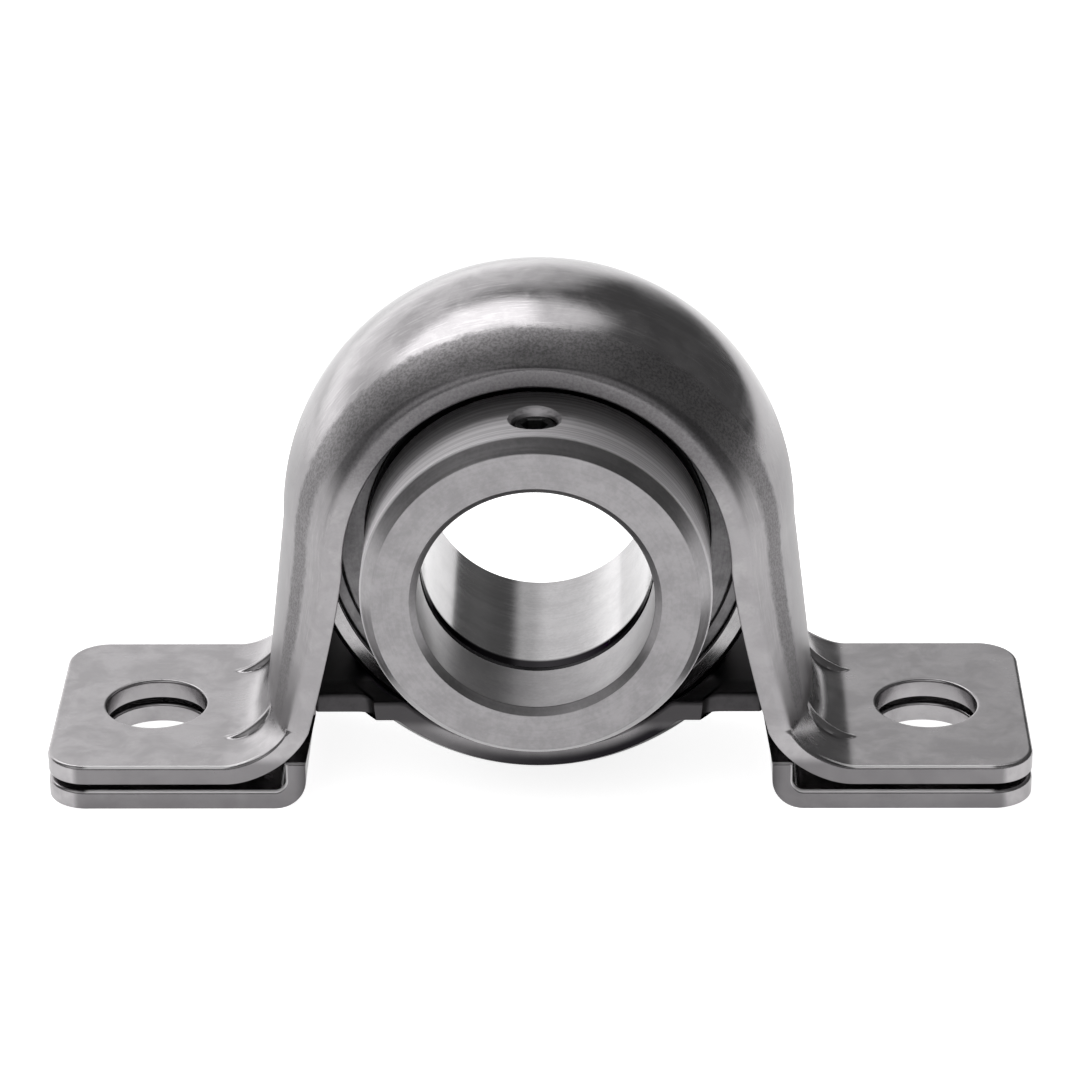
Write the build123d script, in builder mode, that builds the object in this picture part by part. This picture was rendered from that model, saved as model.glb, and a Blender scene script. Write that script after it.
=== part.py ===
from build123d import *
from math import cos, radians, sin, sqrt
import os

# Pressed-steel pillow block with a self-aligning insert bearing and an eccentric locking collar.
# Frame: millimetres, +Z up.  The origin lies on the base plane, midway between the two bolt holes
# and straight below the bore.  The bore runs along Y and the locking collar faces -Y.

# ---- Driving dimensions: insert bearing ---------------------------------------------------------
bore_radius = 12.5
inner_ring_wall = 3.031
ball_radius = 3.969
ball_count = 9
ball_play = 0.02
groove_relief = 0.161
land_offset = 2.4
outer_ring_wall = 2.491
outer_ring_width = 15.0
inner_ring_front = 14.0
inner_ring_neck_step = 1.5
ring_edge_chamfer = 0.5
inner_ring_chamfer = 0.4

# ---- Driving dimensions: eccentric locking collar and its set screw ------------------------------
cam_wall = 1.8
cam_eccentricity = 0.8
cam_length = 4.0
cam_clearance = 0.25
collar_wall = 6.1
collar_width = 13.5
collar_gap = 0.35
collar_bore_clearance = 0.05
collar_front_chamfer = 2.0
collar_front_chamfer_depth = 1.3
collar_bore_chamfer = 0.75
screw_radius = 2.5
screw_clearance = 0.04
screw_land = 0.35
screw_depth = 0.75
screw_tip_clearance = 0.9
screw_socket_flats = 2.5
screw_socket_depth = 2.2
screw_edge_chamfer = 0.3
screw_countersink_radius = 3.05

# ---- Driving dimensions: seals -------------------------------------------------------------------
seal_seat_step = 1.1
seal_seat_depth = 1.7
shield_thickness = 0.8
shield_recess = 0.35
shield_fit = 0.02
shield_rim_width = 1.3
shield_step_run = 0.25
lip_height = 1.44
lip_clearance = 0.06
lip_lean = 0.5
lip_edge = 0.25

# ---- Driving dimensions: ball cage ---------------------------------------------------------------
cage_sheet = 0.7
cage_half_width = 1.7
pocket_clearance = 0.12
rivet_radius = 0.6
rivet_head_radius = 1.05
rivet_head_height = 0.4
rivet_clearance = 0.01

# ---- Driving dimensions: pressed housing ---------------------------------------------------------
seat_clearance = 0.02
dish_clearance = 1.13
crown_sheet = 1.88
dish_sheet = 2.05
foot_sheet = 2.2
foot_gap = 0.8
strip_width = 30.0
leg_strip_width = 32.0
crown_draw_in = 1.6
foot_corner_radius = 4.5
bolt_from_bend = 8.4951
bolt_to_end = 11.0
bolt_hole_radius = 5.6
leg_flare = 0.117
leg_curl = 0.575
upper_bend_radius = 4.3
lower_bend_radius = 1.3
nest_clearance = 0.4
strap_drop = 16.1
strap_draw_in = 2.0
strap_rim_radius = 1.6
strap_shoulder_radius = 1.1
strap_root_radius = 1.2
wall_draw_in = 6.5
wall_foot_height = 1.9
wall_spread_height = 2.8
dart_offset = 8.0
dart_radius = 0.8
dart_height = 0.6
dart_sink = 0.15
bend_slice_count = 6
leg_slice_count = 3

# ---- Derived places: the insert is built outwards from the bore, the housing round the insert ----
pitch_radius = bore_radius + inner_ring_wall + ball_play + ball_radius
insert_sphere_radius = pitch_radius + ball_radius + ball_play + outer_ring_wall
groove_radius = ball_radius + groove_relief
inner_land_radius = pitch_radius - land_offset
outer_land_radius = pitch_radius + land_offset
ring_half_width = outer_ring_width / 2
ring_face_radius = sqrt(insert_sphere_radius**2 - ring_half_width**2)
collar_back = inner_ring_front - cam_length
collar_floor = inner_ring_front + collar_gap
collar_radius = bore_radius + collar_wall
cam_radius = bore_radius + cam_wall
seat_radius = insert_sphere_radius + seat_clearance
crown_radius = seat_radius + crown_sheet
dish_radius = seat_radius + dish_sheet
centre_height = dish_radius + dish_clearance
upper_foot_top = foot_sheet + foot_gap + foot_sheet
bearing_centre = Vector(0, 0, centre_height)
bearing_axis = Axis(bearing_centre, (0, 1, 0))
# The half plane in which the turned pieces are drawn: local x runs along the bore, y is the radius.
turning_plane = Plane(origin=bearing_centre, x_dir=(0, 1, 0), z_dir=(1, 0, 0))

os.makedirs("parts", exist_ok=True)


def sag(radius, half_width):
    """How far a circle's arc drops over half its width."""
    return radius - sqrt(radius**2 - half_width**2)


def sheet_section(plane, half_width, top, top_sag, bottom, bottom_sag):
    """A slice of bent sheet: local x across the strip, y through its thickness, edges curled down."""
    with BuildSketch(plane) as section:
        with BuildLine():
            ThreePointArc((-half_width, top - top_sag), (0, top), (half_width, top - top_sag))
            Line((half_width, top - top_sag), (half_width, bottom - bottom_sag))
            ThreePointArc(
                (half_width, bottom - bottom_sag),
                (0, bottom),
                (-half_width, bottom - bottom_sag),
            )
            Line((-half_width, bottom - bottom_sag), (-half_width, top - top_sag))
        make_face()
    return section.sketch


def leg_plane(height):
    """A level slice through the right-hand leg, with local y pointing away from the bore."""
    return Plane(origin=(0, 0, height), x_dir=(0, 1, 0), z_dir=(0, 0, -1))


# ==== Housing =====================================================================================
# Both halves are pressed from strip.  Their legs are skinned through slices whose edges curl
# towards the bore and straighten out round the foot bend.
leg_half_width = leg_strip_width / 2
foot_half_width = strip_width / 2
bend_half_width = (leg_half_width + foot_half_width) / 2
crown_half_width = leg_half_width - crown_draw_in
crown_waist_radius = seat_radius**2 / (3 * crown_draw_in)
upper_bend_z = upper_foot_top + upper_bend_radius
leg_height = centre_height - upper_bend_z
leg_foot_offset = crown_radius + leg_flare * leg_height
upper_bend_x = leg_foot_offset + upper_bend_radius
bolt_x = upper_bend_x + bolt_from_bend
foot_end = bolt_x + bolt_to_end
outer_curl = sag(crown_radius, leg_half_width)
inner_curl = sag(seat_radius, leg_half_width)


def bend_plane(turn):
    """A slice through the upper half's foot bend, turned about the bend's own centre line."""
    inward = Vector(cos(radians(turn)), 0, sin(radians(turn)))
    across = Vector(0, 1, 0)
    return Plane(origin=(upper_bend_x, 0, upper_bend_z), x_dir=across, z_dir=across.cross(inward))


# ---- Upper half: a hoop with a ball-shaped seat, two flared legs and two feet --------------------
upper_leg_slices = []
for step in range(leg_slice_count):
    share = step / leg_slice_count
    sheet = crown_sheet + (foot_sheet - crown_sheet) * share
    outside = crown_radius + (leg_foot_offset - crown_radius) * share
    half_width = leg_half_width + (bend_half_width - leg_half_width) * share
    curl = 1 - (1 - leg_curl) * share**1.5
    level = leg_plane(centre_height - leg_height * share)
    upper_leg_slices.append(
        sheet_section(level, half_width, outside, curl * outer_curl, outside - sheet, curl * inner_curl)
    )
# Round the bend the strip comes to the foot's width and its curl runs out.
upper_bend_slices = []
for step in range(bend_slice_count):
    turn = 90 * step / bend_slice_count
    half_width = foot_half_width + (bend_half_width - foot_half_width) * cos(radians(turn))
    curl = leg_curl * inner_curl * (1 - sin(radians(turn))) ** 1.5
    plane = bend_plane(turn)
    upper_bend_slices.append(
        sheet_section(plane, half_width, -upper_bend_radius, curl, -upper_bend_radius - foot_sheet, curl)
    )
with BuildSketch(bend_plane(90)) as flat_end:
    with Locations((0, -upper_bend_radius - foot_sheet / 2)):
        Rectangle(strip_width, foot_sheet)
upper_leg_slices.append(upper_bend_slices[0])
upper_bend_slices.append(flat_end.sketch)

# A dart's ridge is a wider arc than the bend that it stiffens, and sinks into the leg and the foot.
dart_shift = (dart_height + dart_sink) / (sqrt(2) - 1)
dart_axis_x = upper_bend_x + dart_shift
dart_axis_z = upper_bend_z + dart_shift
dart_path_radius = upper_bend_radius + dart_shift + dart_sink + dart_radius

with BuildPart() as upper_housing:
    loft(sections=upper_leg_slices)
    loft(sections=upper_bend_slices)
    # Foot: a plate with rounded outer corners.
    with BuildSketch(Plane.XY.offset(upper_foot_top - foot_sheet)):
        with Locations((upper_bend_x, 0)):
            Rectangle(foot_end - upper_bend_x, strip_width, align=(Align.MIN, Align.CENTER))
    extrude(amount=foot_sheet)
    fillet(upper_housing.edges().filter_by(Axis.Z).group_by(Axis.X)[-1], foot_corner_radius)
    # Two pressed darts stiffen the bend, one on each side of the bolt.
    for side in (-1, 1):
        with BuildSketch(Plane.XY.offset(dart_axis_z)):
            with Locations((dart_axis_x - dart_path_radius, side * dart_offset)):
                Circle(dart_radius)
        revolve(axis=Axis((dart_axis_x, 0, dart_axis_z), (0, -1, 0)), revolution_arc=90)
    mirror(about=Plane.YZ)
    # Crown: half a turn of the seat's section.
    with BuildSketch(leg_plane(centre_height)):
        with BuildLine():
            outer_edge = crown_radius - outer_curl
            inner_edge = seat_radius - inner_curl
            ThreePointArc((-leg_half_width, outer_edge), (0, crown_radius), (leg_half_width, outer_edge))
            Line((leg_half_width, outer_edge), (leg_half_width, inner_edge))
            ThreePointArc((leg_half_width, inner_edge), (0, seat_radius), (-leg_half_width, inner_edge))
            Line((-leg_half_width, inner_edge), (-leg_half_width, outer_edge))
        make_face()
    revolve(axis=Axis(bearing_centre, (0, -1, 0)), revolution_arc=180)
    # The strip is drawn in over the crown, so its edges are waisted there.
    for side in (-1, 1):
        with BuildSketch(Plane.XY.offset(centre_height)):
            with Locations((0, side * (crown_half_width + crown_waist_radius))):
                Circle(crown_waist_radius)
        extrude(amount=crown_radius + foot_sheet, mode=Mode.SUBTRACT)
    with Locations((-bolt_x, 0, upper_foot_top), (bolt_x, 0, upper_foot_top)):
        Hole(bolt_hole_radius, depth=foot_sheet + foot_gap)
upper_housing.part.label = "upper_housing"
export_step(upper_housing.part, "parts/upper_housing.step")

# ---- Lower half: a dish under the insert, straps beside it, walls inside the upper legs, two feet -
strap_top = centre_height - strap_drop
strap_half_width = foot_half_width - strap_draw_in
wall_half_width = foot_half_width - wall_draw_in
wall_offset = leg_foot_offset - foot_sheet - nest_clearance
lower_bend_x = wall_offset + lower_bend_radius
lower_bend_z = foot_sheet + lower_bend_radius
wall_foot_top = lower_bend_z + wall_foot_height
neck_foot = wall_foot_top + wall_spread_height
neck_top_offset = wall_offset - leg_flare * (strap_top - neck_foot)
wall_curl = leg_curl * inner_curl * (wall_half_width / leg_half_width) ** 2
dish_edge = dish_radius - sag(dish_radius, foot_half_width)
strap_end = neck_top_offset - foot_sheet / 2
strap_corner = wall_offset - foot_sheet - wall_curl
sweep_start = sqrt(dish_edge**2 - strap_drop**2)
sweep_end = sweep_start + strap_draw_in
sweep_middle = foot_half_width - strap_draw_in * cos(radians(45))
neck_slices = []
for level, outside in ((strap_top, neck_top_offset), (neck_foot, wall_offset)):
    inside = outside - foot_sheet
    neck_slices.append(
        sheet_section(leg_plane(level), wall_half_width, outside, wall_curl, inside, wall_curl)
    )
with BuildSketch(leg_plane(wall_foot_top)) as wall_foot:
    with Locations((0, wall_offset - foot_sheet / 2)):
        Rectangle(strip_width, foot_sheet)

with BuildPart() as lower_housing:
    # Wall: a curled neck that spreads to the strip's full width above a tight foot bend.
    loft(sections=neck_slices)
    loft(sections=[neck_slices[-1], wall_foot.sketch])
    extrude(wall_foot.sketch, amount=wall_foot_height)
    with BuildSketch(leg_plane(lower_bend_z)):
        with Locations((0, wall_offset - foot_sheet / 2)):
            Rectangle(strip_width, foot_sheet)
    revolve(axis=Axis((lower_bend_x, 0, lower_bend_z), (0, -1, 0)), revolution_arc=90)
    with BuildSketch():
        with Locations((lower_bend_x, 0)):
            Rectangle(foot_end - lower_bend_x, strip_width, align=(Align.MIN, Align.CENTER))
    extrude(amount=foot_sheet)
    fillet(lower_housing.edges().filter_by(Axis.Z).group_by(Axis.X)[-1], foot_corner_radius)
    # Strap: a level web from the dish to the wall.  Its edges sweep out to meet the dish's edges,
    # and it necks down to the wall's width at its outer end.
    with BuildSketch(Plane.XY.offset(strap_top - foot_sheet)):
        with BuildLine():
            for side in (-1, 1):
                Line((strap_end - wall_curl, side * wall_half_width), (strap_corner, side * wall_half_width))
                Line((strap_corner, side * wall_half_width), (strap_corner, side * strap_half_width))
                Line((strap_corner, side * strap_half_width), (sweep_end, side * strap_half_width))
                ThreePointArc(
                    (sweep_end, side * strap_half_width),
                    (sweep_end - strap_draw_in * sin(radians(45)), side * sweep_middle),
                    (sweep_start, side * foot_half_width),
                )
                Line((sweep_start, side * foot_half_width), (0, side * foot_half_width))
            Line((0, -foot_half_width), (0, foot_half_width))
            ThreePointArc(
                (strap_end - wall_curl, -wall_half_width),
                (strap_end, 0),
                (strap_end - wall_curl, wall_half_width),
            )
        make_face()
    extrude(amount=foot_sheet)
    mirror(about=Plane.YZ)
    # Dish: a turned ball seat, cut off level with the straps.
    with BuildSketch(turning_plane):
        with BuildLine():
            ThreePointArc((-foot_half_width, dish_edge), (0, dish_radius), (foot_half_width, dish_edge))
            Polyline(
                (foot_half_width, dish_edge),
                (foot_half_width, 0),
                (-foot_half_width, 0),
                (-foot_half_width, dish_edge),
            )
        make_face()
    revolve(axis=bearing_axis)
    with Locations((0, 0, strap_top)):
        above_strap = (Align.CENTER, Align.CENTER, Align.MIN)
        Box(2 * foot_end, strip_width, 2 * centre_height, align=above_strap, mode=Mode.SUBTRACT)
    with Locations(bearing_centre):
        Sphere(seat_radius, mode=Mode.SUBTRACT)
    # The strap rolls over into the ball seat at its inner end and into the wall at its outer end.
    strap_tops = lower_housing.faces().filter_by(Axis.Z).group_by(Axis.Z)[-1].sort_by(Axis.X)
    shoulders = strap_tops[0].edges().sort_by(Axis.X)[:1] + strap_tops[-1].edges().sort_by(Axis.X)[-1:]
    fillet(shoulders, strap_shoulder_radius)
    strap_tops = lower_housing.faces().filter_by(Axis.Z).group_by(Axis.Z)[-1]
    fillet(strap_tops.edges().filter_by(GeomType.CIRCLE).group_by(SortBy.LENGTH)[-1], strap_rim_radius)
    strap_undersides = lower_housing.faces().filter_by(Axis.Z).group_by(Axis.Z)[-2]
    fillet(strap_undersides.edges().filter_by(GeomType.CIRCLE).group_by(SortBy.LENGTH)[-1], strap_root_radius)
    with Locations((-bolt_x, 0, foot_sheet), (bolt_x, 0, foot_sheet)):
        Hole(bolt_hole_radius, depth=foot_sheet)
lower_housing.part.label = "lower_housing"
export_step(lower_housing.part, "parts/lower_housing.step")

# ==== Insert bearing ==============================================================================
# ---- Outer ring: a spherical outside, one deep ball groove, a stepped seat for each seal ---------
outer_groove_centre = pitch_radius + ball_radius + ball_play - groove_radius
outer_groove_half = sqrt(groove_radius**2 - (outer_land_radius - outer_groove_centre) ** 2)
seal_seat = ring_half_width - seal_seat_depth
seal_seat_radius = outer_land_radius + seal_seat_step

with BuildPart() as outer_ring:
    with BuildSketch(turning_plane):
        with BuildLine():
            ThreePointArc(
                (-ring_half_width, ring_face_radius),
                (0, insert_sphere_radius),
                (ring_half_width, ring_face_radius),
            )
            Polyline(
                (ring_half_width, ring_face_radius),
                (ring_half_width, seal_seat_radius),
                (seal_seat, seal_seat_radius),
                (seal_seat, outer_land_radius),
                (outer_groove_half, outer_land_radius),
            )
            ThreePointArc(
                (outer_groove_half, outer_land_radius),
                (0, outer_groove_centre + groove_radius),
                (-outer_groove_half, outer_land_radius),
            )
            Polyline(
                (-outer_groove_half, outer_land_radius),
                (-seal_seat, outer_land_radius),
                (-seal_seat, seal_seat_radius),
                (-ring_half_width, seal_seat_radius),
                (-ring_half_width, ring_face_radius),
            )
        make_face()
    revolve(axis=bearing_axis)
    ring_edges = outer_ring.edges().filter_by(GeomType.CIRCLE)
    rim_edges = ring_edges.filter_by(lambda edge: edge.radius > seal_seat_radius + ring_edge_chamfer)
    chamfer(rim_edges, ring_edge_chamfer)
outer_ring.part.label = "outer_ring"
export_step(outer_ring.part, "parts/outer_ring.step")

# ---- Inner ring: a plain bore, one ball groove, a neck and an eccentric cam at the front ---------
inner_groove_centre = pitch_radius - ball_radius - ball_play + groove_radius
inner_groove_half = sqrt(groove_radius**2 - (inner_groove_centre - inner_land_radius) ** 2)
cam_start = collar_back - collar_gap
inner_ring_neck_radius = inner_land_radius - inner_ring_neck_step
inner_ring_front_plane = Plane(
    origin=(0, -inner_ring_front, centre_height), x_dir=(1, 0, 0), z_dir=(0, -1, 0)
)

with BuildPart() as inner_ring:
    with BuildSketch(turning_plane):
        with BuildLine():
            Polyline(
                (-inner_groove_half, inner_land_radius),
                (-ring_half_width, inner_land_radius),
                (-ring_half_width, inner_ring_neck_radius),
                (-cam_start, inner_ring_neck_radius),
                (-cam_start, 0),
                (ring_half_width, 0),
                (ring_half_width, inner_land_radius),
                (inner_groove_half, inner_land_radius),
            )
            ThreePointArc(
                (inner_groove_half, inner_land_radius),
                (0, inner_groove_centre - groove_radius),
                (-inner_groove_half, inner_land_radius),
            )
        make_face()
    revolve(axis=bearing_axis)
    with BuildSketch(inner_ring_front_plane):
        with Locations((0, cam_eccentricity)):
            Circle(cam_radius)
    extrude(amount=cam_start - inner_ring_front)
    with Locations(inner_ring_front_plane):
        Hole(bore_radius)
    ring_ends = inner_ring.faces().filter_by(Axis.Y).sort_by(Axis.Y)
    chamfer(ring_ends[0].edges() + ring_ends[-1].edges(), inner_ring_chamfer)
inner_ring.part.label = "inner_ring"
export_step(inner_ring.part, "parts/inner_ring.step")

# ---- Seals: a stepped steel shield pressed into the outer ring carries a rubber lip --------------
shield_face = ring_half_width - shield_recess
shield_back = shield_face - shield_thickness
shield_outer_radius = seal_seat_radius - shield_fit
shield_step_radius = seal_seat_radius - shield_rim_width
lip_radius = inner_land_radius + lip_clearance
shield_inner_radius = lip_radius + lip_height
for name, side in (("front", -1), ("rear", 1)):
    with BuildPart() as seal_shield:
        with BuildSketch(turning_plane):
            with BuildLine():
                Polyline(
                    (side * seal_seat, shield_outer_radius),
                    (side * (seal_seat + shield_thickness), shield_outer_radius),
                    (side * (seal_seat + shield_thickness), shield_step_radius),
                    (side * shield_face, shield_step_radius - shield_step_run),
                    (side * shield_face, shield_inner_radius),
                    (side * shield_back, shield_inner_radius),
                    (side * shield_back, shield_step_radius - shield_step_run - shield_thickness / 2),
                    (side * seal_seat, shield_step_radius - shield_thickness / 2),
                    close=True,
                )
            make_face()
        revolve(axis=bearing_axis)
    seal_shield.part.label = f"{name}_seal_shield"
    export_step(seal_shield.part, f"parts/{name}_seal_shield.step")

    with BuildPart() as seal_lip:
        with BuildSketch(turning_plane):
            with BuildLine():
                Polyline(
                    (side * shield_back, shield_inner_radius),
                    (side * shield_face, shield_inner_radius),
                    (side * (shield_face - lip_lean), lip_radius),
                    (side * (shield_face - lip_lean - lip_edge), lip_radius),
                    close=True,
                )
            make_face()
        revolve(axis=bearing_axis)
    seal_lip.part.label = f"{name}_seal_lip"
    export_step(seal_lip.part, f"parts/{name}_seal_lip.step")

# ---- Ball cage: two pressed ribbons riveted together between the balls ---------------------------
pocket_radius = ball_radius + pocket_clearance
rivet_angle = 180 / ball_count
cage_outer_radius = pitch_radius + cage_half_width
cage_inner_radius = pitch_radius - cage_half_width
cage_front_plane = Plane(origin=bearing_centre, x_dir=(0, 0, 1), z_dir=(0, -1, 0))
cage_rear_plane = Plane(origin=bearing_centre, x_dir=(0, 0, 1), z_dir=(0, 1, 0))
for name, plane in (("front", cage_front_plane), ("rear", cage_rear_plane)):
    with BuildPart() as cage_half:
        with BuildSketch(plane):
            Circle(cage_outer_radius)
        extrude(amount=cage_sheet)
        with Locations(plane):
            with PolarLocations(pitch_radius, ball_count):
                Sphere(pocket_radius + cage_sheet)
        with BuildSketch(plane):
            Circle(cage_outer_radius)
            Circle(cage_inner_radius, mode=Mode.SUBTRACT)
        extrude(amount=pocket_radius + 2 * cage_sheet, mode=Mode.INTERSECT)
        with Locations(plane):
            with PolarLocations(pitch_radius, ball_count):
                Sphere(pocket_radius, mode=Mode.SUBTRACT)
            with PolarLocations(pitch_radius, ball_count, start_angle=rivet_angle):
                Hole(rivet_radius)
    cage_half.part.label = f"cage_{name}_half"
    export_step(cage_half.part, f"parts/cage_{name}_half.step")

with BuildPart() as cage_rivets:
    for plane in (cage_front_plane, cage_rear_plane):
        with BuildSketch(plane):
            with PolarLocations(pitch_radius, ball_count, start_angle=rivet_angle):
                Circle(rivet_radius - rivet_clearance)
        extrude(amount=cage_sheet)
        with BuildSketch(plane.offset(cage_sheet)):
            with PolarLocations(pitch_radius, ball_count, start_angle=rivet_angle):
                Circle(rivet_head_radius)
        extrude(amount=rivet_head_height)
cage_rivets.part.label = "cage_rivets"
export_step(cage_rivets.part, "parts/cage_rivets.step")

# ---- Balls ---------------------------------------------------------------------------------------
with Locations(cage_front_plane):
    ball_places = PolarLocations(pitch_radius, ball_count).locations
for index, place in enumerate(ball_places):
    with BuildPart() as ball:
        with Locations(place):
            Sphere(ball_radius)
    ball.part.label = f"ball_{index + 1}"
    export_step(ball.part, f"parts/ball_{index + 1}.step")

# ==== Eccentric locking collar ====================================================================
collar_back_plane = Plane(origin=(0, -collar_back, centre_height), x_dir=(1, 0, 0), z_dir=(0, -1, 0))
collar_bore_radius = bore_radius + collar_bore_clearance
screw_length = collar_radius - collar_bore_radius - screw_depth - screw_tip_clearance
screw_plane = Plane(origin=(0, -collar_floor - screw_land - screw_radius, centre_height))
with BuildPart() as locking_collar:
    with BuildSketch(collar_back_plane):
        Circle(collar_radius)
        Circle(collar_bore_radius, mode=Mode.SUBTRACT)
    extrude(amount=collar_width)
    with BuildSketch(collar_back_plane):
        with Locations((0, cam_eccentricity)):
            Circle(cam_radius + cam_clearance)
    extrude(amount=collar_floor - collar_back, mode=Mode.SUBTRACT)
    front_edges = locking_collar.faces().sort_by(Axis.Y)[0].edges().sort_by(SortBy.LENGTH)
    chamfer(front_edges[0], collar_bore_chamfer)
    front_face = locking_collar.faces().sort_by(Axis.Y)[0]
    chamfer(front_edges[-1], collar_front_chamfer_depth, collar_front_chamfer, reference=front_face)
    back_edges = locking_collar.faces().sort_by(Axis.Y)[-1].edges().sort_by(SortBy.LENGTH)
    chamfer(back_edges[-1], ring_edge_chamfer)
    # Tapped hole for the set screw, radial, with a countersunk mouth.
    with BuildSketch(screw_plane):
        Circle(screw_radius)
    extrude(amount=collar_radius, mode=Mode.SUBTRACT)
    with Locations(screw_plane.offset(collar_radius)):
        CounterSinkHole(screw_radius, screw_countersink_radius, depth=collar_radius - bore_radius / 2)
locking_collar.part.label = "locking_collar"
export_step(locking_collar.part, "parts/locking_collar.step")

# ---- Set screw: a short headless screw with a hexagon socket and a cup point ---------------------
screw_top_plane = screw_plane.offset(collar_radius - screw_depth)
with BuildPart() as set_screw:
    with BuildSketch(screw_top_plane):
        Circle(screw_radius - screw_clearance)
    extrude(amount=-screw_length)
    chamfer(set_screw.edges().filter_by(GeomType.CIRCLE), screw_edge_chamfer)
    with BuildSketch(screw_top_plane):
        RegularPolygon(screw_socket_flats / 2, 6, major_radius=False)
    extrude(amount=-screw_socket_depth, mode=Mode.SUBTRACT)
set_screw.part.label = "set_screw"
export_step(set_screw.part, "parts/set_screw.step")
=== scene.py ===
from math import atan, cos, inf, pi, radians, sin, sqrt, tan, tau

import bmesh
import bpy
import numpy as np
from mathutils import Matrix, Vector


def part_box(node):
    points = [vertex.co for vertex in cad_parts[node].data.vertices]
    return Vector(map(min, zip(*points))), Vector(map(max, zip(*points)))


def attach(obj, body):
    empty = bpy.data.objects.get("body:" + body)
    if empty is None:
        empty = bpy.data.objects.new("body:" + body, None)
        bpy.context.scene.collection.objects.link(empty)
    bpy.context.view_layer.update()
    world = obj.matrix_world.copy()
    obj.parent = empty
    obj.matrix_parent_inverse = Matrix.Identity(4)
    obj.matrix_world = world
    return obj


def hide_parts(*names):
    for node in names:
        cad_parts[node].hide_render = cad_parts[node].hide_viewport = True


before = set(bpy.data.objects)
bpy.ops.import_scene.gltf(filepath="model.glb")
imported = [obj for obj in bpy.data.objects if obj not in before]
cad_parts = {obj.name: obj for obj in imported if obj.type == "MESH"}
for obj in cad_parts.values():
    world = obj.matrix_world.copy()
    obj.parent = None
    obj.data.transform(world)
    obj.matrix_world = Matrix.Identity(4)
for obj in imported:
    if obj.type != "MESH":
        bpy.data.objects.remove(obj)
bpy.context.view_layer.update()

# Dressed model of a pressed-steel pillow block with its insert bearing.  Lengths below are in
# millimetres in the CAD's frame, and are turned into metres when a mesh is made.
MM = 0.001

# ---- Housing sizes -------------------------------------------------------------------------------
centre_height = 29.2
seat_radius = 26.02
crown_sheet = 1.88
dish_sheet = 2.05
foot_sheet = 2.2
foot_gap = 0.8
foot_half_width = 15.0
leg_half_width = 16.0
crown_half_width = 14.4
foot_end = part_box("upper_housing")[1].x / MM
foot_corner_radius = 4.5
bolt_x = 43.0
bolt_hole_radius = 5.6
leg_flare = 0.117
leg_curl = 0.575
upper_bend_radius = 4.3
lower_bend_radius = 1.3
nest_clearance = 0.4
strap_drop = 16.1
strap_half_width = 13.0
strap_rim_radius = 1.6
strap_shoulder_radius = 1.1
strap_root_radius = 1.2
wall_half_width = 8.5
wall_foot_height = 1.9
wall_spread_height = 2.8
wall_root_radius = 0.3
wall_top_curl = 0.3
neck_lean = 0.8
strap_corner = 24.25
strap_corner_radius = 0.4
dart_offset = 8.0
dart_radius = 0.8
dart_height = 0.6
dart_sink = 0.15
dart_softness = 0.06

crown_radius = seat_radius + crown_sheet
dish_radius = seat_radius + dish_sheet
upper_foot_top = 2 * foot_sheet + foot_gap
upper_bend_z = upper_foot_top + upper_bend_radius
leg_height = centre_height - upper_bend_z
leg_foot_offset = crown_radius + leg_flare * leg_height
upper_bend_x = leg_foot_offset + upper_bend_radius
wall_offset = leg_foot_offset - foot_sheet - nest_clearance
lower_bend_x = wall_offset + lower_bend_radius
lower_bend_z = foot_sheet + lower_bend_radius
strap_top = centre_height - strap_drop
wall_foot_top = lower_bend_z + wall_foot_height
neck_foot = wall_foot_top + wall_spread_height
neck_slope = neck_lean / (strap_top - neck_foot)
dart_shift = (dart_height + dart_sink) / (sqrt(2) - 1)
dart_path = upper_bend_radius + dart_shift + dart_sink
bend_half_width = (leg_half_width + foot_half_width) / 2


def sag(radius, half_width):
    """How far a circle's arc drops over half its width."""
    return radius - np.sqrt(radius**2 - half_width**2)


def arc_drop(y, half_width, edge_drop):
    """Drop at y of the circular arc that drops by edge_drop at half_width."""
    edge_drop = np.maximum(edge_drop, 1e-6)
    radius = (half_width**2 + edge_drop**2) / (2 * edge_drop)
    return radius - np.sqrt(radius**2 - y**2)


outer_curl = sag(crown_radius, leg_half_width)
inner_curl = sag(seat_radius, leg_half_width)
wall_curl = leg_curl * inner_curl * (wall_half_width / leg_half_width) ** 2


# ==== Mesh helpers ================================================================================
weld_distance = 2e-7  # metres
sharp_angle = radians(40)


def unit(vectors):
    """The same directions with a length of one."""
    return vectors / np.linalg.norm(vectors, axis=-1, keepdims=True)


def add_object(name, data):
    """A new object in the scene."""
    made = bpy.data.objects.new(name, data)
    bpy.context.scene.collection.objects.link(made)
    return made


def closed_mesh(name, verts, faces):
    """A smooth mesh, given in millimetres, whose faces all look outwards."""
    mesh = bpy.data.meshes.new(name)
    mesh.from_pydata((np.asarray(verts) * MM).tolist(), [], faces)
    work = bmesh.new()
    work.from_mesh(mesh)
    bmesh.ops.remove_doubles(work, verts=work.verts, dist=weld_distance)
    bmesh.ops.recalc_face_normals(work, faces=work.faces)
    work.to_mesh(mesh)
    work.free()
    mesh.shade_smooth()
    return mesh


def new_piece(name, node, verts, faces, body, material, sharp=sharp_angle):
    """A closed piece, given in millimetres, that rides on a body and stands for a CAD node."""
    mesh = closed_mesh(name, verts, faces)
    mesh.set_sharp_from_angle(angle=sharp)
    mesh.materials.append(material)
    piece = add_object(name, mesh)
    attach(piece, body)
    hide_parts(node)
    return piece


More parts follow.
